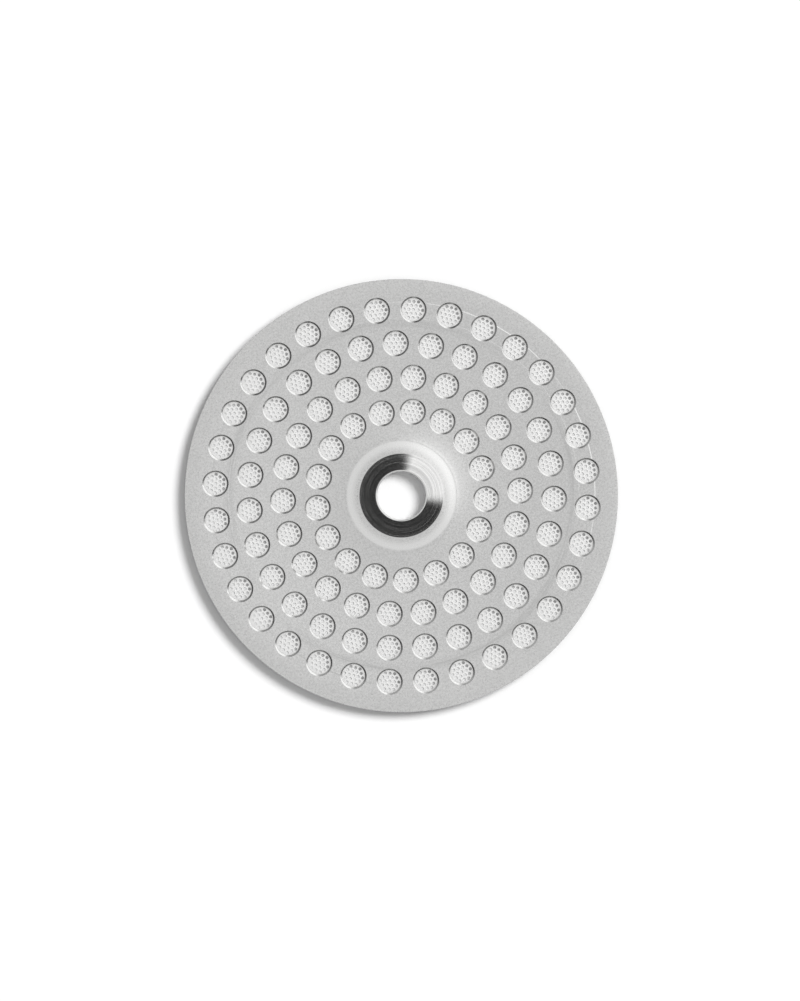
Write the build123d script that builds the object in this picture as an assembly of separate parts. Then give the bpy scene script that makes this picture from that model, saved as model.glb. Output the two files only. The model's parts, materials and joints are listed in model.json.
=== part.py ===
from build123d import *

import os
from math import cos, floor, pi, radians, sin, sqrt, tan

# Espresso shower screen: one stainless sheet, cut to a disc, pocketed in rings and pressed up
# into a collar round its screw hole. The disc lies on its coffee face, centred on the origin,
# with the group side up (+Z). Sizes are in millimetres, angles in degrees.

# Disc
DISC_DIAMETER = 57.5
SHEET_THICKNESS = 1.0
RIM_CHAMFER = 0.12

# Collar round the screw hole: a steep cone that ends in a narrow flat land
BORE_DIAMETER = 6.4
COLLAR_LAND = 0.2
COLLAR_FOOT_DIAMETER = 11.2
COLLAR_SLOPE = 45.0
COLLAR_FOOT_RADIUS = 0.3

# Skirt: the shallow rise of the face that the press leaves round the collar's foot
SKIRT_DIAMETER = 15.0
SKIRT_SLOPE = 9.0
SKIRT_BEND_RADIUS = 4.0

# Rings of spray pockets, counted from the collar outwards. Each ring starts on the +X axis,
# turned on by its share of one step.
FIRST_RING_RADIUS = 11.25
RING_PITCH = 4.5
FIRST_RING_COUNT = 17
RING_COUNT_STEP = 5
RING_START_STEPS = (0.0, 0.0, 0.5, 0.0)

# Spray pocket: a shallow tapered cup that leaves a thin web at the coffee face. There are so many
# that each round wall is drawn as this many flats, which keep it round to about 0.02 mm.
POCKET_MOUTH_DIAMETER = 3.4
POCKET_FLOOR_DIAMETER = 3.1
POCKET_WEB = 0.2
POCKET_FLATS = 16

# Spray opening through the web: a six-sided cluster of fine holes, in rows of 3, 4, 5, 4 and 3,
# drawn as one six-sided hole that lets as much water through.
FINE_HOLE_DIAMETER = 0.43
FINE_HOLE_COUNT = 19
CLUSTER_SIDES = 6

disc_radius = DISC_DIAMETER / 2
bore_radius = BORE_DIAMETER / 2
mouth_radius = POCKET_MOUTH_DIAMETER / 2


def sheet_corner(
    radius: float, height: float, outer_slope: float, inner_slope: float, depth: float
) -> Vector:
    """A corner of the group side, carried down through the sheet along the line that halves its slopes."""
    mean = radians((outer_slope + inner_slope) / 2)
    half_turn = radians((inner_slope - outer_slope) / 2)
    reach = depth / cos(half_turn)
    return Vector(radius - reach * sin(mean), height - reach * cos(mean))


def sheet_side(depth: float, end_radius: float) -> list[Vector]:
    """Corners of the sheet's surface at one depth below the group side, from the collar to the rim."""
    foot_radius = COLLAR_FOOT_DIAMETER / 2
    skirt_radius = SKIRT_DIAMETER / 2
    foot_height = SHEET_THICKNESS + (skirt_radius - foot_radius) * tan(radians(SKIRT_SLOPE))

    foot = sheet_corner(foot_radius, foot_height, SKIRT_SLOPE, COLLAR_SLOPE, depth)
    skirt = sheet_corner(skirt_radius, SHEET_THICKNESS, 0, SKIRT_SLOPE, depth)
    end_height = foot.Y + (foot.X - end_radius) * tan(radians(COLLAR_SLOPE))
    rim = Vector(disc_radius - RIM_CHAMFER, SHEET_THICKNESS - depth)
    return [Vector(end_radius, end_height), foot, skirt, rim]


def disc_section() -> Sketch:
    """Half section of the disc, its skirt and its collar, with one sheet thickness through both bends."""
    bends = (COLLAR_FOOT_RADIUS, SKIRT_BEND_RADIUS)
    land_radius = bore_radius + COLLAR_LAND

    with BuildSketch() as section:
        with BuildLine():
            group_side = FilletPolyline(*sheet_side(0, land_radius), radius=bends)
            coffee_side = FilletPolyline(
                *sheet_side(SHEET_THICKNESS, bore_radius),
                radius=[bend + SHEET_THICKNESS for bend in bends],
            )
            collar_top = (group_side @ 0).Y
            Polyline(group_side @ 0, (bore_radius, collar_top), coffee_side @ 0)
            Polyline(
                group_side @ 1,
                (disc_radius, SHEET_THICKNESS - RIM_CHAMFER),
                (disc_radius, RIM_CHAMFER),
                coffee_side @ 1,
            )
        make_face()
    return section.sketch


def ring_places() -> list[Location]:
    """Where the pockets stand: as many rings as leave a rim no narrower than the wall between rings."""
    ring_wall = RING_PITCH - POCKET_MOUTH_DIAMETER
    outermost = disc_radius - ring_wall - mouth_radius
    rings = 1 + floor((outermost - FIRST_RING_RADIUS) / RING_PITCH)

    places = []
    for ring in range(rings):
        count = FIRST_RING_COUNT + RING_COUNT_STEP * ring
        start_steps = RING_START_STEPS[ring % len(RING_START_STEPS)]
        places += PolarLocations(
            FIRST_RING_RADIUS + RING_PITCH * ring,
            count,
            start_angle=start_steps * 360 / count,
        ).locations
    return places


def flatted_round(diameter: float, flats: int, height: float) -> Face:
    """A round of flats at one height, with its circle's area and a corner along its ring."""
    step = 2 * pi / flats
    corner_radius = diameter / 2 * sqrt(step / sin(step))
    return (Pos(0, 0, height) * RegularPolygon(corner_radius, flats, rotation=90)).face()


def pocket_cutter() -> Solid:
    """The tapered cup that is taken out of the sheet, with the spray opening through the web under it."""
    floor_round = flatted_round(POCKET_FLOOR_DIAMETER, POCKET_FLATS, POCKET_WEB)
    mouth_round = flatted_round(POCKET_MOUTH_DIAMETER, POCKET_FLATS, SHEET_THICKNESS)
    cup = loft([floor_round, mouth_round], ruled=True)

    open_diameter = FINE_HOLE_DIAMETER * sqrt(FINE_HOLE_COUNT)
    opening_base = flatted_round(open_diameter, CLUSTER_SIDES, -POCKET_WEB)
    opening = extrude(opening_base, SHEET_THICKNESS, dir=(0, 0, 1))
    return (cup + opening).solid()


def shower_screen() -> Part:
    """The whole screen: the section turned about Z, less the pockets and their openings."""
    disc = revolve(Plane.XZ * disc_section(), Axis.Z)
    cup = pocket_cutter()
    screen = disc - [place * cup for place in ring_places()]
    screen.label = "shower_screen"
    return screen


os.makedirs("parts", exist_ok=True)
export_step(shower_screen(), "parts/shower_screen.step")
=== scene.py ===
"""Looks of an espresso shower screen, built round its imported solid.

The screen is one pierced steel sheet. Its shape is worked out in millimetres in the solid's own frame, with
the coffee face on Z = 0 and the group side up, and is put into one mesh in metres.
"""
import json
import logging
import math
from dataclasses import dataclass
from enum import IntEnum
from typing import Union

import bmesh
import bpy
import numpy as np
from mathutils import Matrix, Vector
from mathutils.geometry import delaunay_2d_cdt


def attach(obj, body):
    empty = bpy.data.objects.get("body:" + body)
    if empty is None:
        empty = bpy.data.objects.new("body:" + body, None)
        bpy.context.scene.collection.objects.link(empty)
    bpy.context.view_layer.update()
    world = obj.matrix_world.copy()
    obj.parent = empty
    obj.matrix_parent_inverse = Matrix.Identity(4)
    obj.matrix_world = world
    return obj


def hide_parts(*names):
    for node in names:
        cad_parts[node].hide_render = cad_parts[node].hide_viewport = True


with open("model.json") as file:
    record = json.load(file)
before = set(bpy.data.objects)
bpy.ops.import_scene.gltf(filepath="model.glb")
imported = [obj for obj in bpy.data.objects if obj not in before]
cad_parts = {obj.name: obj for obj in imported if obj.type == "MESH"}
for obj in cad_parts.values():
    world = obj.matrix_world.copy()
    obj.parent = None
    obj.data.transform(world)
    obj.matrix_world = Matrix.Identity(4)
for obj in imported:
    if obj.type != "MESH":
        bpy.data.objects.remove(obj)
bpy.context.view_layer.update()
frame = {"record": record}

LOG = logging.getLogger("shower_screen")
NODE = "shower_screen"
BODY = "root"
MM = 0.001

# Points within this many millimetres are one, and edges with a larger angle in degrees than this stay sharp
WELD = 0.00001
SHARP_EDGE = 25.0

# Red, green and blue of stainless steel, as shares of its grey
STEEL_TINT = (1.0, 0.998, 0.99)

# Kinds of socket, and the places of the sockets of a Mix node for colours, whose names repeat
VECTOR, FLOAT = "NodeSocketVector", "NodeSocketFloat"
MIX_FACTOR, MIX_LOW, MIX_HIGH, MIX_RESULT = 0, 6, 7, 2

Value = Union[float, tuple, bpy.types.NodeSocket]


class Finish(IntEnum):
    """The finishes of the sheet, in the order of the mesh's material slots."""

    FACE = 0
    COLLAR = 1
    WEB = 2
    WALL = 3


# Surfaces


@dataclass
class Patch:
    """One stretch of surface: corner points, faces of one size, and how it is finished.

    Attributes:
        points: Corner points in millimetres, one row each.
        faces: Point numbers of each face, one row each.
        finish: The finish of all its faces.
        smooth: Whether its faces blend into each other.
    """

    points: np.ndarray
    faces: np.ndarray
    finish: Finish
    smooth: bool


def grid_faces(rows: int, columns: int) -> np.ndarray:
    """Faces of a grid that is open along its rows and closed round its columns.

    Args:
        rows: Points along the profile.
        columns: Points round the axis.

    Returns:
        Four point numbers a face, where point (i, j) has the number i * columns + j.
    """
    row, column = np.meshgrid(np.arange(rows - 1), np.arange(columns), indexing="ij")
    onward = (column + 1) % columns
    first, second = row * columns, (row + 1) * columns
    corners = (first + column, first + onward, second + onward, second + column)
    return np.stack(corners, axis=-1).reshape(-1, 4)


def strip_faces(rows: int, columns: int) -> np.ndarray:
    """Faces of a grid that is open both ways, numbered as in grid_faces.

    Args:
        rows: Points one way.
        columns: Points the other way.

    Returns:
        Four point numbers a face.
    """
    row, column = np.meshgrid(np.arange(rows - 1), np.arange(columns - 1), indexing="ij")
    first = row * columns + column
    return np.stack((first, first + 1, first + columns + 1, first + columns), axis=-1).reshape(-1, 4)


def circle(radius: float, count: int) -> np.ndarray:
    """Points of a circle about the origin: radius times cosine and sine of even steps of a turn."""
    turn = np.arange(count) * 2 * np.pi / count
    return radius * np.stack((np.cos(turn), np.sin(turn)), axis=-1)


def turned(profile: np.ndarray, count: int) -> tuple[np.ndarray, np.ndarray]:
    """Turns a profile about Z: each point is its radius along the unit circle, at its own height.

    Args:
        profile: Radius and height of each point, one row each.
        count: Steps round the axis.

    Returns:
        The points, profile by profile point, and the faces.
    """
    around = circle(1.0, count)
    flat = profile[:, None, :1] * around[None]
    heights = np.broadcast_to(profile[:, None, 1:], flat.shape[:2] + (1,))
    return np.concatenate((flat, heights), axis=-1).reshape(-1, 3), grid_faces(len(profile), count)


def repeated(points: np.ndarray, faces: np.ndarray, places: np.ndarray) -> tuple[np.ndarray, np.ndarray]:
    """Repeats one shape at many places, turned so that its X runs along each place's first axis.

    Args:
        points: Points of the shape about its own origin.
        faces: Faces of the shape.
        places: For each place the centre's x and y and the first axis's x and y.

    Returns:
        All points and all faces.
    """
    centre, along = places[:, None, :2], places[:, None, 2:]
    across = np.stack((-along[..., 1], along[..., 0]), axis=-1)
    flat = centre + points[None, :, :1] * along + points[None, :, 1:2] * across
    heights = np.broadcast_to(points[None, :, 2:], flat.shape[:2] + (1,))
    offsets = np.arange(len(places))[:, None, None] * len(points)
    all_faces = (faces[None] + offsets).reshape(-1, faces.shape[1])
    return np.concatenate((flat, heights), axis=-1).reshape(-1, 3), all_faces


def pierced_flat(outline: np.ndarray, holes: list[np.ndarray]) -> tuple[np.ndarray, np.ndarray]:
    """Fills a convex flat outline that has convex holes, as a Delaunay net that keeps every edge.

    A triangle with all its corners on one hole's edge lies in that hole, and is left out.

    Args:
        outline: Outer points in order.
        holes: Points of each hole in order.

    Returns:
        The flat points, outline first, and three point numbers a triangle, anticlockwise.
    """
    loops = [outline, *holes]
    lengths = np.array([len(loop) for loop in loops])
    starts = np.repeat(np.cumsum(lengths) - lengths, lengths)
    owner = np.repeat(np.arange(len(loops)), lengths)
    number = np.arange(len(owner))
    onward = starts + (number - starts + 1) % lengths[owner]
    points = np.concatenate(loops)
    edges = np.stack((number, onward), axis=-1)
    whole_hull, tolerance = 0, 1e-7
    net = delaunay_2d_cdt(points.tolist(), edges.tolist(), [], whole_hull, tolerance)
    triangles = np.array(net[2])
    owners = owner[triangles]
    in_hole = (owners[:, 0] > 0) & (owners[:, 0] == owners[:, 1]) & (owners[:, 0] == owners[:, 2])
    return points, triangles[~in_hole]


def at_height(points: np.ndarray, height: float) -> np.ndarray:
    """Lifts flat points to one height."""
    return np.column_stack((points, np.full(len(points), height)))


def sewn_mesh(name: str, patches: list[Patch]) -> bpy.types.Mesh:
    """Joins patches where their points meet, and makes one closed mesh of them with its faces outwards.

    Args:
        name: The mesh's name.
        patches: The patches, which share the points of their common edges.

    Returns:
        The mesh, in metres.
    """
    points = np.concatenate([patch.points for patch in patches])
    offsets = np.cumsum([0] + [len(patch.points) for patch in patches])
    cells = np.round(points / WELD).astype(np.int64)
    _, kept, number = np.unique(cells, axis=0, return_index=True, return_inverse=True)
    number = number.ravel()
    faces = [number[patch.faces + offset] for patch, offset in zip(patches, offsets)]

    mesh = bpy.data.meshes.new(name)
    corners = [face for block in faces for face in block.tolist()]
    mesh.from_pydata((points[kept] * MM).tolist(), [], corners)
    counts = [len(block) for block in faces]
    slots = [int(patch.finish) for patch in patches]
    blends = [patch.smooth for patch in patches]
    mesh.polygons.foreach_set("material_index", np.repeat(slots, counts).tolist())
    mesh.polygons.foreach_set("use_smooth", np.repeat(blends, counts).tolist())

    work = bmesh.new()
    work.from_mesh(mesh)
    bmesh.ops.recalc_face_normals(work, faces=work.faces[:])
    work.to_mesh(mesh)
    open_edges = sum(not edge.is_manifold for edge in work.edges)
    work.free()
    mesh.set_sharp_from_angle(angle=math.radians(SHARP_EDGE))
    LOG.info("%s: %d faces, %d open edges", name, len(mesh.polygons), open_edges)
    return mesh


# The screen


@dataclass(frozen=True)
class Sheet:
    """The steel sheet that everything is made from, in millimetres.

    Attributes:
        radius: The disc's radius, read from the frame.
        thickness: The sheet's thickness.
        rim_round: Rounding of the rim's two edges.
        rim_steps: Points round the rim.
        round_steps: Steps of each rounding.
    """

    radius: float
    thickness: float = 1.0
    rim_round: float = 0.03
    rim_steps: int = 240
    round_steps: int = 4

    def rim_profile(self) -> np.ndarray:
        """Two quarter rounds: each point is the rounding's centre plus its radius along sine and cosine.

        Returns:
            Radius and height of each point, from the group face over the rim to the coffee face.
        """
        turn = np.linspace(0, np.pi / 2, self.round_steps + 1)
        inner = self.radius - self.rim_round
        out = inner + self.rim_round * np.sin(turn)
        up = self.thickness - self.rim_round * (1 - np.cos(turn))
        upper = np.stack((out, up), axis=-1)
        lower = upper[::-1] * (1, -1) + (0, self.thickness)
        return np.concatenate((upper, lower))

    def rim(self) -> Patch:
        """The rim's own surface."""
        points, faces = turned(self.rim_profile(), self.rim_steps)
        return Patch(points, faces, Finish.FACE, True)


@dataclass(frozen=True)
class Collar:
    """The cone that is pressed up round the screw hole, and the skirt at its foot, in millimetres.

    Attributes:
        sheet: The sheet that it is pressed from.
        bore_radius: The screw hole's radius, read from the frame.
        land: Width of the flat ring at the collar's top.
        edge_round: Rounding of the hole's upper edge.
        foot_radius: Where the cone and the skirt would meet without their bend.
        slope: The cone's slope in degrees.
        foot_bend: Bend between cone and skirt on the group side.
        skirt_radius: Where the skirt would meet the face without its bend.
        skirt_slope: The skirt's slope in degrees.
        skirt_bend: Bend between skirt and face on the group side.
        steps: Points round the axis.
        bend_steps: Steps along each bend.
        edge_steps: Steps along the rounding of the hole's edge.
    """

    sheet: Sheet
    bore_radius: float
    land: float = 0.2
    edge_round: float = 0.15
    foot_radius: float = 5.6
    slope: float = 45.0
    foot_bend: float = 0.3
    skirt_radius: float = 7.5
    skirt_slope: float = 9.0
    skirt_bend: float = 4.0
    steps: int = 144
    bend_steps: int = 8
    edge_steps: int = 4

    def bend(
        self, corner: tuple[float, float], outer: float, inner: float, bend: float, depth: float
    ) -> np.ndarray:
        """A bend's points at one depth in the sheet.

        The bend's centre lies above its corner, on the line that halves the two slopes. A point is that
        centre less the bend's radius and the depth, along the normal (sine, cosine) of each slope in turn.

        Args:
            corner: Radius and height where the two group-side slopes meet.
            outer: Slope outside the bend, in degrees.
            inner: Slope inside the bend, in degrees.
            bend: Radius of the bend on the group side.
            depth: Depth below the group side.

        Returns:
            Radius and height of each point, from the inside out.
        """
        mean, half = math.radians((outer + inner) / 2), math.radians((inner - outer) / 2)
        centre = np.array(corner) + bend / math.cos(half) * np.array((math.sin(mean), math.cos(mean)))
        slopes = np.radians(np.linspace(inner, outer, self.bend_steps + 1))
        return centre - (bend + depth) * np.stack((np.sin(slopes), np.cos(slopes)), axis=-1)

    def side(self, depth: float, end_radius: float) -> np.ndarray:
        """The sheet's surface at one depth, from the cone's upper end to where the face is flat.

        Args:
            depth: Depth below the group side.
            end_radius: Radius of the cone's upper end.

        Returns:
            Radius and height of each point, from the inside out.
        """
        rise = (self.skirt_radius - self.foot_radius) * math.tan(math.radians(self.skirt_slope))
        foot_corner = (self.foot_radius, self.sheet.thickness + rise)
        skirt_corner = (self.skirt_radius, self.sheet.thickness)
        foot = self.bend(foot_corner, self.skirt_slope, self.slope, self.foot_bend, depth)
        skirt = self.bend(skirt_corner, 0.0, self.skirt_slope, self.skirt_bend, depth)
        end_height = foot[0, 1] + (foot[0, 0] - end_radius) * math.tan(math.radians(self.slope))
        return np.concatenate(([(end_radius, end_height)], foot, skirt))

    def flat_radius(self) -> float:
        """Radius at which the skirt has run out into the flat face."""
        return float(self.side(0.0, self.bore_radius)[-1, 0])

    def patches(self) -> list[Patch]:
        """The turned cone with its land, hole and hollow underside, and the skirt on both sides.

        The hole's upper edge is a quarter round: its centre plus its radius along cosine and sine.

        Returns:
            The cone's patch, then the skirt's on the group side and on the coffee side.
        """
        group = self.side(0.0, self.bore_radius + self.land)
        coffee = self.side(self.sheet.thickness, self.bore_radius)
        cone_points = self.bend_steps + 2
        turn = np.linspace(0, np.pi / 2, self.edge_steps + 1)
        edge_centre = np.array((self.bore_radius + self.edge_round, group[0, 1] - self.edge_round))
        edge = edge_centre + self.edge_round * np.stack((-np.cos(turn), np.sin(turn)), axis=-1)
        cone = np.concatenate((coffee[:cone_points][::-1], edge, group[:cone_points]))
        made = []
        for profile, finish in (
            (cone, Finish.COLLAR),
            (group[cone_points - 1 :], Finish.FACE),
            (coffee[cone_points - 1 :], Finish.FACE),
        ):
            points, faces = turned(profile, self.steps)
            made.append(Patch(points, faces, finish, True))
        return made


@dataclass(frozen=True)
class SprayField:
    """The rings of spray pockets, with the cluster of fine holes in each pocket's web, in millimetres.

    Attributes:
        sheet: The sheet that the pockets are etched into.
        first_ring: Radius of the innermost ring.
        ring_pitch: Distance from ring to ring.
        ring_counts: Pockets in each ring.
        ring_starts: Share of one step by which each ring is turned on from +X.
        mouth_radius: A pocket's radius at the group face.
        wall_radius: Its radius at the lower end of the sloping mouth, where the steep wall starts.
        floor_radius: Radius of its flat floor.
        mouth_slope: Slope of the mouth in degrees.
        mouth_shift: How far the etched mouths stand off their floors along X and Y, the same way for all.
        web: Thickness of the sheet left under the pocket.
        hole_radius: Radius of a fine hole.
        hole_pitch: Distance from fine hole to fine hole.
        cluster_rows: Fine holes in each row of a cluster.
        wall_steps: Points round a pocket.
        hole_steps: Points round a fine hole.
    """

    sheet: Sheet
    first_ring: float = 11.25
    ring_pitch: float = 4.5
    ring_counts: tuple[int, ...] = (17, 22, 27, 32)
    ring_starts: tuple[float, ...] = (0.0, 0.0, 0.5, 0.0)
    mouth_radius: float = 1.75
    wall_radius: float = 1.535
    floor_radius: float = 1.51
    mouth_slope: float = 42.0
    mouth_shift: tuple[float, float] = (0.008, -0.022)
    web: float = 0.08
    hole_radius: float = 0.215
    hole_pitch: float = 0.62
    cluster_rows: tuple[int, ...] = (3, 4, 5, 4, 3)
    wall_steps: int = 36
    hole_steps: int = 12

    def places(self) -> np.ndarray:
        """Where the pockets stand: the ring's radius along each direction, with its tangent a quarter on.

        Returns:
            For each pocket the centre's x and y and the tangent's x and y.
        """
        counts = np.array(self.ring_counts)
        ring = np.repeat(np.arange(len(counts)), counts)
        step = np.arange(len(ring)) - np.repeat(np.cumsum(counts) - counts, counts)
        turn = (step + np.array(self.ring_starts)[ring]) * 2 * np.pi / counts[ring]
        radius = self.first_ring + self.ring_pitch * ring
        outward = np.stack((np.cos(turn), np.sin(turn)), axis=-1)
        tangent = np.stack((-np.sin(turn), np.cos(turn)), axis=-1)
        return np.concatenate((radius[:, None] * outward, tangent), axis=-1)

    def cluster(self) -> np.ndarray:
        """Fine holes about a pocket's centre: rows along X, each row centred, rows at 60 degrees.

        Returns:
            The holes' centres, one row each.
        """
        counts = np.array(self.cluster_rows)
        row = np.repeat(np.arange(len(counts)), counts)
        step = np.arange(len(row)) - np.repeat(np.cumsum(counts) - counts, counts)
        x = (step - (counts[row] - 1) / 2) * self.hole_pitch
        y = (row - (len(counts) - 1) / 2) * self.hole_pitch * math.sin(math.pi / 3)
        return np.stack((x, y), axis=-1)

    def wall_profile(self) -> np.ndarray:
        """A pocket's side from mouth to floor: a sloping mouth, then a steep wall.

        Returns:
            Radius and height of its three points.
        """
        drop = (self.mouth_radius - self.wall_radius) * math.tan(math.radians(self.mouth_slope))
        return np.array(
            (
                (self.mouth_radius, self.sheet.thickness),
                (self.wall_radius, self.sheet.thickness - drop),
                (self.floor_radius, self.web),
            )
        )

    def mouths(self, radius: float, shift: tuple[float, float] = (0.0, 0.0)) -> list[np.ndarray]:
        """Circles round the pockets' centres, or shifted off them, with as many points as the walls have.

        Args:
            radius: Radius of each circle.
            shift: Shift of all the circles along X and Y.

        Returns:
            The flat points of each circle.
        """
        outline = at_height(circle(radius, self.wall_steps), 0.0)
        points, _ = repeated(outline, np.zeros((0, 3), int), self.places())
        return list(points[:, :2].reshape(-1, self.wall_steps, 2) + shift)

    def patches(self) -> list[Patch]:
        """Pocket walls, pierced webs and the fine holes through them. A wall's first points are its mouth.

        Returns:
            The walls, the fine holes, and the upper and lower sides of the webs.
        """
        places, cluster = self.places(), self.cluster()
        wall = repeated(*turned(self.wall_profile(), self.wall_steps), places)
        mouths = wall[0].reshape(len(places), -1, self.wall_steps, 3)[:, 0]
        mouths[..., :2] += self.mouth_shift
        hole_profile = np.array(((self.hole_radius, self.web), (self.hole_radius, 0.0)))
        unturned = np.column_stack((cluster, np.ones(len(cluster)), np.zeros(len(cluster))))
        holes = repeated(*repeated(*turned(hole_profile, self.hole_steps), unturned), places)
        rims = list(cluster[:, None] + circle(self.hole_radius, self.hole_steps)[None])
        net, triangles = pierced_flat(circle(self.floor_radius, self.wall_steps), rims)
        upper = repeated(at_height(net, self.web), triangles, places)
        lower = repeated(at_height(net, 0.0), triangles[:, ::-1], places)
        return [
            Patch(*wall, Finish.WALL, True),
            Patch(*holes, Finish.WEB, True),
            Patch(*upper, Finish.WEB, False),
            Patch(*lower, Finish.FACE, False),
        ]


@dataclass(frozen=True)
class ShowerScreen:
    """The whole screen.

    Attributes:
        sheet: Its sheet.
        collar: The collar round its screw hole.
        field: Its spray pockets.
    """

    sheet: Sheet
    collar: Collar
    field: SprayField

    def flats(self) -> list[Patch]:
        """The two flat faces, from skirt to rim, pierced by the pockets above and by their webs below.

        Returns:
            The group face and the coffee face.
        """
        rim = circle(self.sheet.radius - self.sheet.rim_round, self.sheet.rim_steps)
        skirt = circle(self.collar.flat_radius(), self.collar.steps)
        mouths = self.field.mouths(self.field.mouth_radius, self.field.mouth_shift)
        group, group_net = pierced_flat(rim, [skirt, *mouths])
        coffee, coffee_net = pierced_flat(rim, [skirt, *self.field.mouths(self.field.floor_radius)])
        return [
            Patch(at_height(group, self.sheet.thickness), group_net, Finish.FACE, False),
            Patch(at_height(coffee, 0.0), coffee_net[:, ::-1], Finish.FACE, False),
        ]

    def build(self, finishes: list[bpy.types.Material]) -> bpy.types.Object:
        """Makes the screen's object and puts it on the frame.

        Args:
            finishes: One material for each Finish, in order.

        Returns:
            The object, which stands for the solid.
        """
        patches = [self.sheet.rim(), *self.collar.patches(), *self.field.patches(), *self.flats()]
        mesh = sewn_mesh("pierced_screen", patches)
        for finish in finishes:
            mesh.materials.append(finish)
        piece = bpy.data.objects.new("pierced_screen", mesh)
        bpy.context.scene.collection.objects.link(piece)
        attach(piece, BODY)
        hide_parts(NODE)
        return piece


# Finishes


@dataclass
class Graph:
    """A node tree, with short calls for the nodes that the finishes use.

    Attributes:
        tree: The tree.
    """

    tree: bpy.types.NodeTree

    def node(self, kind: str, **settings: object) -> bpy.types.Node:
        """Adds a node and sets its own properties.

        Args:
            kind: The node's type.
            **settings: Properties of the node.

        Returns:
            The node.
        """
        made = self.tree.nodes.new(kind)
        for name, value in settings.items():
            setattr(made, name, value)
        return made

    def feed(self, socket: bpy.types.NodeSocket, value: Value) -> None:
        """Links a socket to an output, or sets it to a plain value.

        Args:
            socket: The input.
            value: The output or the value.
        """
        if isinstance(value, bpy.types.NodeSocket):
            self.tree.links.new(value, socket)
        else:
            socket.default_value = value

    def math(self, operation: str, *values: Value) -> bpy.types.NodeSocket:
        """The result of one Math node.

        Args:
            operation: What it works out.
            *values: Its inputs in order.

        Returns:
            Its output.
        """
        made = self.node("ShaderNodeMath", operation=operation)
        for socket, value in zip(made.inputs, values):
            self.feed(socket, value)
        return made.outputs[0]

    def ramp(
        self, value: Value, low: float, high: float, to_low: float = 0.0, to_high: float = 1.0
    ) -> bpy.types.NodeSocket:
        """A value carried smoothly from one range to another, and held at its ends.

        Args:
            value: The value.
            low: Start of its range.
            high: End of its range.
            to_low: What the start becomes.
            to_high: What the end becomes.

        Returns:
            The carried value.
        """
        made = self.node("ShaderNodeMapRange", interpolation_type="SMOOTHSTEP")
        names = ("Value", "From Min", "From Max", "To Min", "To Max")
        for name, plain in zip(names, (value, low, high, to_low, to_high)):
            self.feed(made.inputs[name], plain)
        return made.outputs["Result"]

    def around(self, factor: Value, mean: float, spread: float) -> bpy.types.NodeSocket:
        """A value that a factor of 0 to 1 carries from a spread below its mean to a spread above it."""
        return self.ramp(factor, 0.0, 1.0, mean - spread, mean + spread)

    def noise(
        self, vector: Value, scale: Value, detail: float, roughness: float = 0.5
    ) -> bpy.types.NodeSocket:
        """A noise value between 0 and 1.

        Args:
            vector: Where it is read.
            scale: How fine it is.
            detail: How many finer layers it has.
            roughness: How strong the finer layers are.

        Returns:
            The value.
        """
        made = self.node("ShaderNodeTexNoise")
        names = ("Vector", "Scale", "Detail", "Roughness")
        for name, plain in zip(names, (vector, scale, detail, roughness)):
            self.feed(made.inputs[name], plain)
        return made.outputs["Fac"]

    def tint(self, factor: Value, low: Value, high: Value) -> bpy.types.NodeSocket:
        """A colour between two.

        Args:
            factor: Share of the second colour.
            low: The first colour.
            high: The second colour.

        Returns:
            The colour.
        """
        made = self.node("ShaderNodeMix", data_type="RGBA")
        self.feed(made.inputs[MIX_FACTOR], factor)
        self.feed(made.inputs[MIX_LOW], low)
        self.feed(made.inputs[MIX_HIGH], high)
        return made.outputs[MIX_RESULT]

    def radius(self, vector: Value) -> bpy.types.NodeSocket:
        """Distance from the Z axis: the length of a place's x and y.

        Args:
            vector: The place.

        Returns:
            The distance.
        """
        parts = self.node("ShaderNodeSeparateXYZ")
        self.feed(parts.inputs[0], vector)
        flat = self.node("ShaderNodeCombineXYZ")
        self.feed(flat.inputs[0], parts.outputs[0])
        self.feed(flat.inputs[1], parts.outputs[1])
        length = self.node("ShaderNodeVectorMath", operation="LENGTH")
        self.feed(length.inputs[0], flat.outputs[0])
        return length.outputs["Value"]

    def place(self, group: bpy.types.NodeTree, **values: Value) -> bpy.types.NodeSocket:
        """Puts a shared effect into the tree.

        Args:
            group: The effect's node group.
            **values: Its inputs by name, with underscores for spaces.

        Returns:
            Its one output.
        """
        made = self.node("ShaderNodeGroup", node_tree=group)
        for name, value in values.items():
            self.feed(made.inputs[name.replace("_", " ")], value)
        return made.outputs[0]


def effect(name: str, inputs: dict[str, str], output: str) -> tuple[Graph, bpy.types.Node, bpy.types.Node]:
    """Starts a shared effect as a shader node group.

    Args:
        name: The group's name.
        inputs: Socket type of each named input.
        output: Name of its one value output.

    Returns:
        The group's graph, its input node and its output node.
    """
    tree = bpy.data.node_groups.new(name, "ShaderNodeTree")
    for socket, kind in inputs.items():
        tree.interface.new_socket(socket, in_out="INPUT", socket_type=kind)
    tree.interface.new_socket(output, in_out="OUTPUT", socket_type="NodeSocketFloat")
    graph = Graph(tree)
    return graph, graph.node("NodeGroupInput"), graph.node("NodeGroupOutput")


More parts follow.
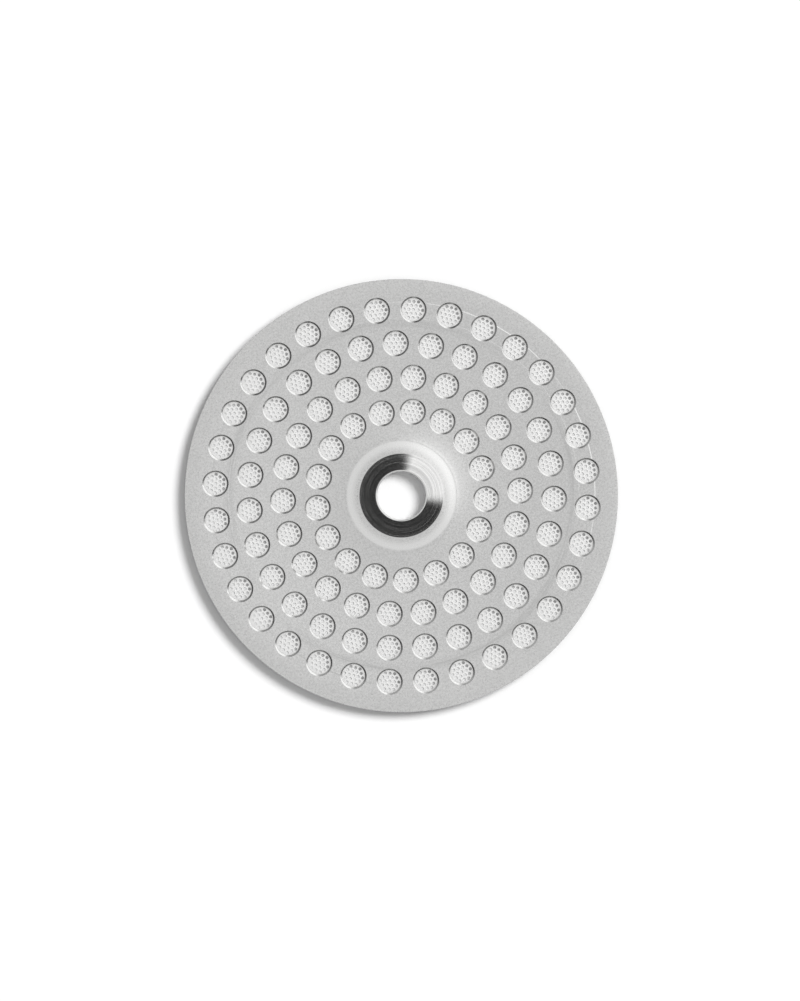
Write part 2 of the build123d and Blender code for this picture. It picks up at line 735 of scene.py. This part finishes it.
class Effects:
    """The surface effects that the finishes share, each built once as a node group.

    Attributes:
        NOISE_SPAN: Values of a noise that become 0 and 1.
        SCRATCH_SPAN: Values of a noise between which a scratch breaks off.
        STEP_SPAN: Values of a noise between which a rubbed edge is worn away.
        SPECK_SPAN: Shares of a cell between which a nick's edge fades.
        ARC_INPUTS: Inputs of the effects that follow a circle.
    """

    NOISE_SPAN = (0.28, 0.72)
    SCRATCH_SPAN = (0.35, 0.55)
    STEP_SPAN = (0.35, 0.5)
    SPECK_SPAN = (0.05, 0.13)
    ARC_INPUTS = {"Coordinates": VECTOR, "Radius": FLOAT, "Width": FLOAT, "Breaks": FLOAT}

    def __init__(self) -> None:
        """Builds every effect's node group."""
        self.grain = self.make_grain()
        self.ring_marks = self.make_ring_marks()
        self.arc_scratch = self.make_arc_scratch()
        self.arc_step = self.make_arc_step()
        self.specks = self.make_specks()

    def make_grain(self) -> bpy.types.NodeTree:
        """Fine even grain of rolled and tumbled steel: noise in a few layers, spread to 0 to 1.

        Returns:
            The effect's node group.
        """
        graph, given, result = effect("sheet_grain", {"Coordinates": VECTOR, "Scale": FLOAT}, "Grain")
        raw = graph.noise(given.outputs["Coordinates"], given.outputs["Scale"], detail=2.5, roughness=0.6)
        graph.feed(result.inputs["Grain"], graph.ramp(raw, *self.NOISE_SPAN))
        return graph.tree

    def make_ring_marks(self) -> bpy.types.NodeTree:
        """Turning marks: noise that changes fast with the radius and slowly along the circle.

        Returns:
            The effect's node group.
        """
        graph, given, result = effect(
            "ring_marks", {"Coordinates": VECTOR, "Density": FLOAT, "Drift": FLOAT}, "Marks"
        )
        drifting = graph.node("ShaderNodeVectorMath", operation="SCALE")
        graph.feed(drifting.inputs[0], given.outputs["Coordinates"])
        graph.feed(drifting.inputs["Scale"], given.outputs["Drift"])
        parts = graph.node("ShaderNodeSeparateXYZ")
        graph.feed(parts.inputs[0], drifting.outputs[0])
        path = graph.node("ShaderNodeCombineXYZ")
        radius = graph.radius(given.outputs["Coordinates"])
        graph.feed(path.inputs[0], graph.math("MULTIPLY", radius, given.outputs["Density"]))
        graph.feed(path.inputs[1], parts.outputs[0])
        graph.feed(path.inputs[2], parts.outputs[1])
        raw = graph.noise(path.outputs[0], 1.0, detail=3.0, roughness=0.6)
        graph.feed(result.inputs["Marks"], graph.ramp(raw, *self.NOISE_SPAN))
        return graph.tree

    @staticmethod
    def arc(graph: Graph, given: bpy.types.Node) -> bpy.types.NodeSocket:
        """How far a place lies outside an effect's circle, in widths.

        Args:
            graph: The effect's graph.
            given: Its input node.

        Returns:
            The distance from the axis less the circle's radius, over the width.
        """
        radius = graph.radius(given.outputs["Coordinates"])
        away = graph.math("SUBTRACT", radius, given.outputs["Radius"])
        return graph.math("DIVIDE", away, given.outputs["Width"])

    def make_arc_scratch(self) -> bpy.types.NodeTree:
        """A rubbed band on one circle: strongest on it, gone a width off it, and broken along its length.

        Returns:
            The effect's node group.
        """
        graph, given, result = effect("arc_scratch", self.ARC_INPUTS, "Mask")
        line = graph.ramp(graph.math("ABSOLUTE", self.arc(graph, given)), 0.0, 1.0, 1.0, 0.0)
        raw = graph.noise(given.outputs["Coordinates"], given.outputs["Breaks"], detail=3.0)
        unbroken = graph.ramp(raw, *self.SCRATCH_SPAN)
        graph.feed(result.inputs["Mask"], graph.math("MULTIPLY", line, unbroken))
        return graph.tree

    def make_arc_step(self) -> bpy.types.NodeTree:
        """A rubbed edge on one circle: from 0 inside it to 1 outside it, and worn away in places.

        Returns:
            The effect's node group.
        """
        graph, given, result = effect("arc_step", self.ARC_INPUTS, "Step")
        step = graph.ramp(self.arc(graph, given), -0.5, 0.5)
        raw = graph.noise(given.outputs["Coordinates"], given.outputs["Breaks"], detail=1.0)
        unworn = graph.ramp(raw, *self.STEP_SPAN)
        graph.feed(result.inputs["Step"], graph.math("MULTIPLY", step, unworn))
        return graph.tree

    def make_specks(self) -> bpy.types.NodeTree:
        """Sparse tiny nicks: the middles of a few cells of a cell pattern.

        Returns:
            The effect's node group.
        """
        graph, given, result = effect(
            "specks", {"Coordinates": VECTOR, "Density": FLOAT, "Share": FLOAT}, "Mask"
        )
        cells = graph.node("ShaderNodeTexVoronoi")
        graph.feed(cells.inputs["Vector"], given.outputs["Coordinates"])
        graph.feed(cells.inputs["Scale"], given.outputs["Density"])
        middle = graph.ramp(cells.outputs["Distance"], *self.SPECK_SPAN, 1.0, 0.0)
        chance = graph.node("ShaderNodeSeparateColor")
        graph.feed(chance.inputs[0], cells.outputs["Color"])
        picked = graph.math("LESS_THAN", chance.outputs[0], given.outputs["Share"])
        graph.feed(result.inputs["Mask"], graph.math("MULTIPLY", middle, picked))
        return graph.tree


def steel(name: str) -> tuple[bpy.types.Material, Graph, bpy.types.Node, bpy.types.NodeSocket]:
    """Starts a bare metal material.

    Args:
        name: The material's name.

    Returns:
        The material, its graph, its shader and the object coordinates.
    """
    material = bpy.data.materials.new(name)
    material.use_nodes = True
    graph = Graph(material.node_tree)
    shader = material.node_tree.nodes["Principled BSDF"]
    shader.inputs["Metallic"].default_value = 1.0
    coordinates = graph.node("ShaderNodeTexCoord").outputs["Object"]
    return material, graph, shader, coordinates


def grey(level: float) -> tuple[float, float, float, float]:
    """A steel grey with the faint warmth of stainless."""
    red, green, blue = STEEL_TINT
    return (level * red, level * green, level * blue, 1.0)


def shaded(graph: Graph, factor: Value, level: float, shares: tuple[float, float]) -> bpy.types.NodeSocket:
    """A steel grey that a factor of 0 to 1 carries from one share of its level to another."""
    return graph.tint(factor, grey(level * shares[0]), grey(level * shares[1]))


def relief(graph: Graph, shader: bpy.types.Node, height: bpy.types.NodeSocket) -> None:
    """Gives a surface a relief.

    Args:
        graph: The material's graph.
        shader: Its shader.
        height: Height of the relief in metres.
    """
    bump = graph.node("ShaderNodeBump")
    bump.inputs["Strength"].default_value = 1.0
    bump.inputs["Distance"].default_value = 1.0
    graph.feed(bump.inputs["Height"], height)
    graph.feed(shader.inputs["Normal"], bump.outputs[0])


@dataclass(frozen=True)
class MarkedRing:
    """A circle that use has marked on the face.

    Attributes:
        radius: Its radius in metres.
        width: Width of its edge, or of each half of its band, in metres.
        breaks: Scale of the noise that breaks it up.
    """

    radius: float
    width: float
    breaks: float

    def inputs(self) -> dict[str, float]:
        """The ring as inputs of an effect that follows a circle."""
        return {"Radius": self.radius, "Width": self.width, "Breaks": self.breaks}


@dataclass(frozen=True)
class SatinFace:
    """The sheet's flat faces: even satin with fine grain, a painted sheen on the skirt, rubbed rings and a
    few nicks.

    Its relief also shows how the press drew the face up round the collar and left the disc a hair hollow.
    The rise falls off exponentially with the distance from the skirt, and the hollow is a straight slope.

    Attributes:
        level: Grey of the steel.
        grain_scale: How fine the grain is.
        grain_depth: Share by which the grain lightens and darkens the steel.
        grain_height: Height of the grain in metres.
        roughness: Mean roughness.
        roughness_spread: How far the grain changes the roughness either way.
        painted_skirt_sheen: Share by which the skirt's grey is raised, a painted sheen that stands in for the
            light the sloped skirt catches.
        skirt: Radii in metres where the painted sheen starts, is full, starts to fade and is gone.
        draw_slope: Slope of the drawn rise at the skirt, as rise over run.
        draw_reach: Distance in metres over which the rise falls off to about a third.
        hollow_slope: Slope of the hollow, as rise over run.
        rub_centre: Middle of the rubbed rings in metres, a little off the axis.
        rub_rings: The two rubbed rings.
        rub_depths: How far the face drops outside each of them, in metres.
        scuff_ring: Where the band of scuffs lies.
        scuff_density: How close the scuffs are to each other.
        scuff_drift: How soon a scuff ends along the circle.
        scuff_share: Strength of the scuffs.
        scuff_level: Share of the grey that is left in a scuff.
        nick_density: How many cells for nicks there are to a metre.
        nick_share: Share of the cells that hold a nick.
        nick_strength: Strength of the nicks.
        nick_level: Share of the grey that is left in a nick.
    """

    level: float = 0.52
    grain_scale: float = 4200.0
    grain_depth: float = 0.1
    grain_height: float = 0.0000012
    roughness: float = 0.3
    roughness_spread: float = 0.03
    # Painted sheen: share by which the skirt's grey is raised, standing in for light on the skirt
    painted_skirt_sheen: float = 0.24
    skirt: tuple[float, float, float, float] = (0.0058, 0.0068, 0.0071, 0.0074)
    draw_slope: float = 0.24
    draw_reach: float = 0.0042
    hollow_slope: float = 0.085
    rub_centre: tuple[float, float, float] = (0.0003, 0.00015, 0.0)
    rub_rings: tuple[MarkedRing, MarkedRing] = (
        MarkedRing(radius=0.02546, width=0.00016, breaks=40.0),
        MarkedRing(radius=0.02335, width=0.00014, breaks=55.0),
    )
    rub_depths: tuple[float, float] = (0.00005, 0.000015)
    scuff_ring: MarkedRing = MarkedRing(radius=0.0229, width=0.0009, breaks=32.0)
    scuff_density: float = 5000.0
    scuff_drift: float = 120.0
    scuff_share: float = 0.7
    scuff_level: float = 0.76
    nick_density: float = 900.0
    nick_share: float = 0.03
    nick_strength: float = 0.6
    nick_level: float = 0.35

    def painted_sheen_mask(self, graph: Graph, radius: bpy.types.NodeSocket) -> bpy.types.NodeSocket:
        """Where the skirt gets its painted sheen: a rise and a fall with the radius, multiplied.

        Args:
            graph: The material's graph.
            radius: Distance from the axis.

        Returns:
            The mask.
        """
        start, full, hold, gone = self.skirt
        fading = graph.ramp(radius, hold, gone, 1.0, 0.0)
        return graph.math("MULTIPLY", graph.ramp(radius, start, full), fading)

    def scuffed(self, graph: Graph, effects: Effects, where: bpy.types.NodeSocket) -> bpy.types.NodeSocket:
        """Where the face is scuffed: short streaks in a broken band.

        Args:
            graph: The material's graph.
            effects: The shared effects.
            where: The object coordinates.

        Returns:
            The mask.
        """
        band = graph.place(effects.arc_scratch, Coordinates=where, **self.scuff_ring.inputs())
        streaks = graph.place(
            effects.ring_marks, Coordinates=where, Density=self.scuff_density, Drift=self.scuff_drift
        )
        return graph.math("MULTIPLY", graph.math("MULTIPLY", band, streaks), self.scuff_share)

    def form(self, graph: Graph, radius: bpy.types.NodeSocket) -> bpy.types.NodeSocket:
        """Height of the drawn rise and the hollow in metres, level inside the skirt.

        Args:
            graph: The material's graph.
            radius: Distance from the axis.

        Returns:
            The height.
        """
        away = graph.math("MAXIMUM", graph.math("SUBTRACT", radius, self.skirt[-1]), 0.0)
        fall = graph.math("EXPONENT", graph.math("DIVIDE", away, -self.draw_reach))
        hollow = graph.math("MULTIPLY", away, self.hollow_slope)
        return graph.math("MULTIPLY_ADD", fall, self.draw_slope * self.draw_reach, hollow)

    def material(self, effects: Effects) -> bpy.types.Material:
        """Builds the face's material: its colour, its roughness and its relief.

        Args:
            effects: The shared effects.

        Returns:
            The material.
        """
        material, graph, shader, where = steel("satin_face")
        radius = graph.radius(where)
        grain = graph.place(effects.grain, Coordinates=where, Scale=self.grain_scale)
        nicks = graph.place(
            effects.specks, Coordinates=where, Density=self.nick_density, Share=self.nick_share
        )
        colour = shaded(graph, grain, self.level, (1 - self.grain_depth, 1 + self.grain_depth))
        # The first mask paints a sheen on the skirt; the scuffs and nicks are marks of wear
        for mask, share in (
            (self.painted_sheen_mask(graph, radius), 1 + self.painted_skirt_sheen),
            (self.scuffed(graph, effects, where), self.scuff_level),
            (graph.math("MULTIPLY", nicks, self.nick_strength), self.nick_level),
        ):
            colour = graph.tint(mask, colour, grey(self.level * share))
        graph.feed(shader.inputs["Base Color"], colour)
        graph.feed(shader.inputs["Roughness"], graph.around(grain, self.roughness, self.roughness_spread))

        off_axis = graph.node("ShaderNodeVectorMath", operation="SUBTRACT")
        graph.feed(off_axis.inputs[0], where)
        graph.feed(off_axis.inputs[1], self.rub_centre)
        height = self.form(graph, radius)
        for ring, depth in zip(self.rub_rings, self.rub_depths):
            step = graph.place(effects.arc_step, Coordinates=off_axis.outputs[0], **ring.inputs())
            height = graph.math("MULTIPLY_ADD", step, -depth, height)
        relief(graph, shader, graph.math("MULTIPLY_ADD", grain, self.grain_height, height))
        return material


@dataclass(frozen=True)
class TurnedCollar:
    """The collar: smoother steel with the fine rings of the tool that formed it.

    Attributes:
        level: Grey of the steel.
        shares: Shares of the grey in and between the broad rings.
        roughness: Mean roughness.
        roughness_spread: How far the fine rings change the roughness either way.
        fine_rings: How close the fine rings are, and how soon they end along the circle.
        fine_height: Height of the fine rings in metres.
        broad_rings: The same for the broad rings.
        broad_height: Height of the broad rings in metres.
    """

    level: float = 0.52
    shares: tuple[float, float] = (0.85, 1.15)
    roughness: float = 0.13
    roughness_spread: float = 0.03
    fine_rings: tuple[float, float] = (9000.0, 160.0)
    fine_height: float = 0.0000012
    broad_rings: tuple[float, float] = (2600.0, 40.0)
    broad_height: float = 0.000005

    def material(self, effects: Effects) -> bpy.types.Material:
        """Builds the collar's material.

        Args:
            effects: The shared effects.

        Returns:
            The material.
        """
        material, graph, shader, where = steel("turned_collar")
        fine, broad = (
            graph.place(effects.ring_marks, Coordinates=where, Density=density, Drift=drift)
            for density, drift in (self.fine_rings, self.broad_rings)
        )
        graph.feed(shader.inputs["Base Color"], shaded(graph, broad, self.level, self.shares))
        graph.feed(shader.inputs["Roughness"], graph.around(fine, self.roughness, self.roughness_spread))
        fine_relief = graph.math("MULTIPLY", fine, self.fine_height)
        relief(graph, shader, graph.math("MULTIPLY_ADD", broad, self.broad_height, fine_relief))
        return material


@dataclass(frozen=True)
class EtchedWeb:
    """The pockets' pierced webs and their fine holes: paler and rougher than the face, as the etch left them.

    Attributes:
        level: Grey of the steel.
        grain_scale: How fine the grain is.
        shares: Shares of the grey at the grain's two ends.
        roughness: Mean roughness.
        roughness_spread: How far the grain changes the roughness either way.
    """

    level: float = 0.79
    grain_scale: float = 6500.0
    shares: tuple[float, float] = (0.94, 1.05)
    roughness: float = 0.4
    roughness_spread: float = 0.06

    def material(self, effects: Effects) -> bpy.types.Material:
        """Builds the webs' material.

        Args:
            effects: The shared effects.

        Returns:
            The material.
        """
        material, graph, shader, where = steel("etched_web")
        grain = graph.place(effects.grain, Coordinates=where, Scale=self.grain_scale)
        graph.feed(shader.inputs["Base Color"], shaded(graph, grain, self.level, self.shares))
        graph.feed(shader.inputs["Roughness"], graph.around(grain, self.roughness, self.roughness_spread))
        return material


@dataclass(frozen=True)
class BrightWall:
    """The pockets' sloping mouths and walls: smooth and bright, so they mirror what stands round the set.

    Attributes:
        level: Grey of the steel.
        grain_scale: How fine the grain is.
        shares: Shares of the grey at the grain's two ends.
        roughness: Its roughness.
    """

    level: float = 0.57
    grain_scale: float = 6500.0
    shares: tuple[float, float] = (0.9, 1.1)
    roughness: float = 0.16

    def material(self, effects: Effects) -> bpy.types.Material:
        """Builds the walls' material.

        Args:
            effects: The shared effects.

        Returns:
            The material.
        """
        material, graph, shader, where = steel("bright_wall")
        grain = graph.place(effects.grain, Coordinates=where, Scale=self.grain_scale)
        graph.feed(shader.inputs["Base Color"], shaded(graph, grain, self.level, self.shares))
        shader.inputs["Roughness"].default_value = self.roughness
        return material


# The studio


def eased(share: np.ndarray) -> np.ndarray:
    """A share held between 0 and 1 and eased at both ends: three times its square less twice its cube."""
    held = np.clip(share, 0, 1)
    return held * held * (3 - 2 * held)


def link_stage(
    name: str, points: np.ndarray, faces: np.ndarray, material: bpy.types.Material
) -> bpy.types.Object:
    """Puts a piece of the stage into the scene.

    Args:
        name: The piece's name.
        points: Its points in metres.
        faces: Its faces.
        material: Its one material.

    Returns:
        The piece.
    """
    mesh = bpy.data.meshes.new(name)
    mesh.from_pydata(points.tolist(), [], faces.tolist())
    mesh.materials.append(material)
    made = bpy.data.objects.new(name, mesh)
    bpy.context.scene.collection.objects.link(made)
    return made


@dataclass(frozen=True)
class Card:
    """A curved card round the set, soft at its edges, that the steel mirrors and the camera doesn't see.

    Attributes:
        name: The card's name.
        sides: Picture angles at which its two sides are half there, in degrees.
        side_fade: Angle over which each side fades, in degrees.
        height: Elevation of its upper edge, in degrees.
        height_fade: Angle over which it fades up to that edge, in degrees.
        glow: Strength of its light.
        ground: Radius from which the card also lies level with the coffee face, or 0 if it only stands.
        ground_dip: Elevation at which the collar sees the start of that part, in degrees.
        lean: Angle by which the sides move on for each degree of elevation, near the ground.
        lean_height: Elevation up to which they do, in degrees.
        radius: Distance of its standing part.
        steps: Steps along each side.
    """

    name: str
    sides: tuple[float, float]
    side_fade: float
    height: float
    height_fade: float
    glow: float
    ground: float = 0.0
    ground_dip: float = -5.0
    lean: float = 1.5
    lean_height: float = 10.0
    radius: float = 0.8
    steps: int = 48

    def profile(self) -> np.ndarray:
        """The card's profile: level at first if it lies on the ground, then up part of a circle.

        Returns:
            Radius, height and elevation of each point.
        """
        rise = np.linspace(0, self.height, self.steps + 1)
        turn = np.radians(rise)
        standing = np.column_stack((self.radius * np.cos(turn), self.radius * np.sin(turn), rise))
        lying = np.array(((self.ground, 0.0, self.ground_dip),))
        return np.concatenate((lying, standing)) if self.ground else standing

    def material(self) -> bpy.types.Material:
        """Plain white light where the card is there, and nothing where it isn't.

        Returns:
            The material.
        """
        material = bpy.data.materials.new(self.name)
        material.use_nodes = True
        graph = Graph(material.node_tree)
        light = graph.node("ShaderNodeEmission")
        light.inputs["Strength"].default_value = self.glow
        mixed = graph.node("ShaderNodeMixShader")
        graph.feed(mixed.inputs[0], graph.node("ShaderNodeAttribute", attribute_name="there").outputs["Fac"])
        graph.feed(mixed.inputs[1], graph.node("ShaderNodeBsdfTransparent").outputs[0])
        graph.feed(mixed.inputs[2], light.outputs[0])
        graph.feed(material.node_tree.nodes["Material Output"].inputs["Surface"], mixed.outputs[0])
        return material

    def build(self, roll: float) -> None:
        """Makes the card. Each point is its profile's radius along its angle, at its profile's height.

        Args:
            roll: Picture angle of the part's +X, in degrees.
        """
        out, height, rise = self.profile().T
        first, last = self.sides[0] - self.side_fade / 2, self.sides[1] + self.side_fade / 2
        angle = np.linspace(first, last, self.steps + 1)
        ends = eased(np.minimum(angle - angle[0], angle[-1] - angle) / self.side_fade)
        there = eased((self.height - rise) / self.height_fade)
        lean = self.lean * np.minimum(rise, self.lean_height)
        turn = np.radians(angle[:, None] + lean[None] - roll)
        heights = np.broadcast_to(height, turn.shape)
        points = np.stack((out * np.cos(turn), out * np.sin(turn), heights), axis=-1)
        made = link_stage(self.name, points.reshape(-1, 3), strip_faces(*turn.shape), self.material())
        mask = made.data.attributes.new("there", "FLOAT", "POINT")
        mask.data.foreach_set("value", (ends[:, None] * there[None]).ravel().astype(np.float32))
        made.visible_camera = False
        made.visible_diffuse = False
        made.visible_shadow = False


@dataclass(frozen=True)
class Studio:
    """Table, light and camera, in metres. Picture angles are turned from the part's +X by the camera's roll.

    Attributes:
        scale: Millimetres to a pixel of the picture.
        picture: Width and height of the picture in pixels.
        centre: The disc's centre in the picture, in pixels.
        roll: Picture angle of the part's +X, in degrees.
        lens: Focal length in millimetres.
        sensor: Width of the sensor's long side in millimetres.
        table_size: Side of the table.
        table_level: Grey of the table.
        pad_shade_levels: Greys of the top and the side of the pad that the screen lies on, both painted
            shade: the grey top darkens what shows through the fine holes, and the dark side deepens the
            shadow round the rim.
        pad_radii: Inner and outer radius of the pad. Inside stands a white plug, under the screw hole.
        plug_height: Height of the plug's top.
        pad_gap: Gap between the pad and the coffee face.
        pad_height: Thickness of the pad.
        pad_steps: Points round the pad and the plug.
        dome: Strength of the white surroundings for what is matt. What is seen, or mirrored, has strength 1.
        key_level: Share of a white surface's light that the key light gives it, beside the dome's.
        key_angle: Picture angle that the key light comes from, in degrees.
        key_height: The key light's elevation in degrees.
        key_spread: Angle that the key light's round spans, in degrees.
        cards: The cards that the steel mirrors.
    """

    scale: float = 0.13273
    picture: tuple[int, int] = (800, 1001)
    centre: tuple[float, float] = (401.4, 495.6)
    roll: float = 18.83
    lens: float = 200.0
    sensor: float = 36.0
    table_size: float = 3.0
    table_level: float = 0.95
    # Painted shade: the pad's grey top and darker side
    pad_shade_levels: tuple[float, float] = (0.7, 0.35)
    pad_radii: tuple[float, float] = (0.0038, 0.0266)
    plug_height: float = 0.0015
    pad_gap: float = 0.00002
    pad_height: float = 0.00085
    pad_steps: int = 96
    dome: float = 0.45
    key_level: float = 0.66
    key_angle: float = 34.0
    key_height: float = 50.0
    key_spread: float = 26.0
    cards: tuple[Card, ...] = (
        Card(
            name="bright_card",
            sides=(-11.0, 78.0),
            side_fade=16.0,
            height=83.0,
            height_fade=16.0,
            glow=1.7,
            lean=0.0,
        ),
        Card(
            name="dark_card",
            sides=(78.0, 349.0),
            side_fade=16.0,
            height=17.0,
            height_fade=7.0,
            glow=0.05,
            ground=0.032,
        ),
    )

    def camera(self, face_height: float) -> bpy.types.Object:
        """Looks straight down, with the disc where the picture has it.

        Args:
            face_height: Height of the group face, which the scale holds for.

        Returns:
            The camera.
        """
        data = bpy.data.cameras.new("camera")
        data.lens, data.sensor_width = self.lens, self.sensor
        camera = bpy.data.objects.new("camera", data)
        turn = -math.radians(self.roll)
        right = Vector((math.cos(turn), math.sin(turn), 0))
        up = Vector((-math.sin(turn), math.cos(turn), 0))
        pixel = self.scale * MM
        aim = right * (self.picture[0] / 2 - self.centre[0]) - up * (self.picture[1] / 2 - self.centre[1])
        distance = self.picture[1] * pixel * self.lens / self.sensor
        camera.location = aim * pixel + Vector((0, 0, face_height + distance))
        camera.rotation_euler = (0, 0, turn)
        bpy.context.scene.collection.objects.link(camera)
        bpy.context.scene.camera = camera
        return camera

    def direction(self, angle: float, height: float) -> Vector:
        """Unit vector towards a picture angle at an elevation, both in degrees."""
        turn, rise = math.radians(angle - self.roll), math.radians(height)
        return Vector((math.cos(turn) * math.cos(rise), math.sin(turn) * math.cos(rise), math.sin(rise)))

    @staticmethod
    def matt(name: str, level: float) -> bpy.types.Material:
        """A matt grey without any shine.

        Args:
            name: The material's name.
            level: The grey.

        Returns:
            The material.
        """
        material = bpy.data.materials.new(name)
        material.use_nodes = True
        shader = material.node_tree.nodes["Principled BSDF"]
        shader.inputs["Base Color"].default_value = (level, level, level, 1.0)
        shader.inputs["Roughness"].default_value = 1.0
        shader.inputs["Specular IOR Level"].default_value = 0.0
        return material

    def table(self) -> None:
        """A white table, and on it the thin pad that carries the screen, grey on top and dark at its side as
        painted shade, with a white plug in its middle.
        """
        white = self.matt("table_white", self.table_level)
        half, top = self.table_size / 2, -self.pad_gap
        low = top - self.pad_height
        corners = np.array(((-half, -half, low), (half, -half, low), (half, half, low), (-half, half, low)))
        link_stage("table", corners, np.array(((0, 1, 2, 3),)), white)
        inner, outer = self.pad_radii
        plug = at_height(circle(inner, self.pad_steps), self.plug_height)
        link_stage("plug", plug, np.arange(self.pad_steps)[None], white)
        # The pad's grey top and dark side are painted shade, for the fine holes and the shadow at the rim
        profiles = {"pad_top": ((inner, top), (outer, top)), "pad_side": ((outer, top), (outer, low))}
        for (name, profile), level in zip(profiles.items(), self.pad_shade_levels):
            points, faces = turned(np.array(profile), self.pad_steps)
            link_stage(name, points, faces, self.matt(name, level))

    def lights(self) -> None:
        """A white dome, and a far key light that only what is matt sees.

        The key's strength is its level times pi over the sine of its elevation.
        """
        world = bpy.data.worlds.new("white_dome")
        world.use_nodes = True
        graph = Graph(world.node_tree)
        path = graph.node("ShaderNodeLightPath").outputs
        mirrored = graph.math("MAXIMUM", path["Is Glossy Ray"], path["Is Transmission Ray"])
        seen = graph.math("MAXIMUM", path["Is Camera Ray"], mirrored)
        background = world.node_tree.nodes["Background"]
        background.inputs["Color"].default_value = (1, 1, 1, 1)
        graph.feed(background.inputs["Strength"], graph.math("MULTIPLY_ADD", seen, 1 - self.dome, self.dome))
        bpy.context.scene.world = world
        data = bpy.data.lights.new("key", "SUN")
        data.energy = self.key_level * math.pi / math.sin(math.radians(self.key_height))
        data.angle = math.radians(self.key_spread)
        key = bpy.data.objects.new("key", data)
        towards = self.direction(self.key_angle, self.key_height)
        key.rotation_euler = towards.to_track_quat("Z", "Y").to_euler()
        key.visible_glossy = False
        key.visible_camera = False
        bpy.context.scene.collection.objects.link(key)

    def build(self, face_height: float) -> None:
        """Sets up the camera, the table, the cards and the lights.

        Args:
            face_height: Height of the group face.
        """
        bpy.context.scene.view_settings.view_transform = "Standard"
        self.camera(face_height)
        self.table()
        for card in self.cards:
            card.build(self.roll)
        self.lights()


def main() -> None:
    """Builds the screen, its finishes and the studio, and reports each piece."""
    logging.basicConfig(level=logging.INFO, format="%(message)s")
    mounts = {mount["name"]: mount for mount in frame["record"]["mounts"]}
    sheet = Sheet(radius=mounts["rim"]["dims"]["r_mm"])
    collar = Collar(sheet=sheet, bore_radius=mounts["screw_bore"]["dims"]["r_mm"])
    screen = ShowerScreen(sheet=sheet, collar=collar, field=SprayField(sheet=sheet))
    effects = Effects()
    finishes = (SatinFace(), TurnedCollar(), EtchedWeb(), BrightWall())
    piece = screen.build([finish.material(effects) for finish in finishes])
    LOG.info("%s rides on %s and stands for %s", piece.name, BODY, NODE)
    Studio().build(sheet.thickness * MM)


if __name__ == "__main__":
    main()
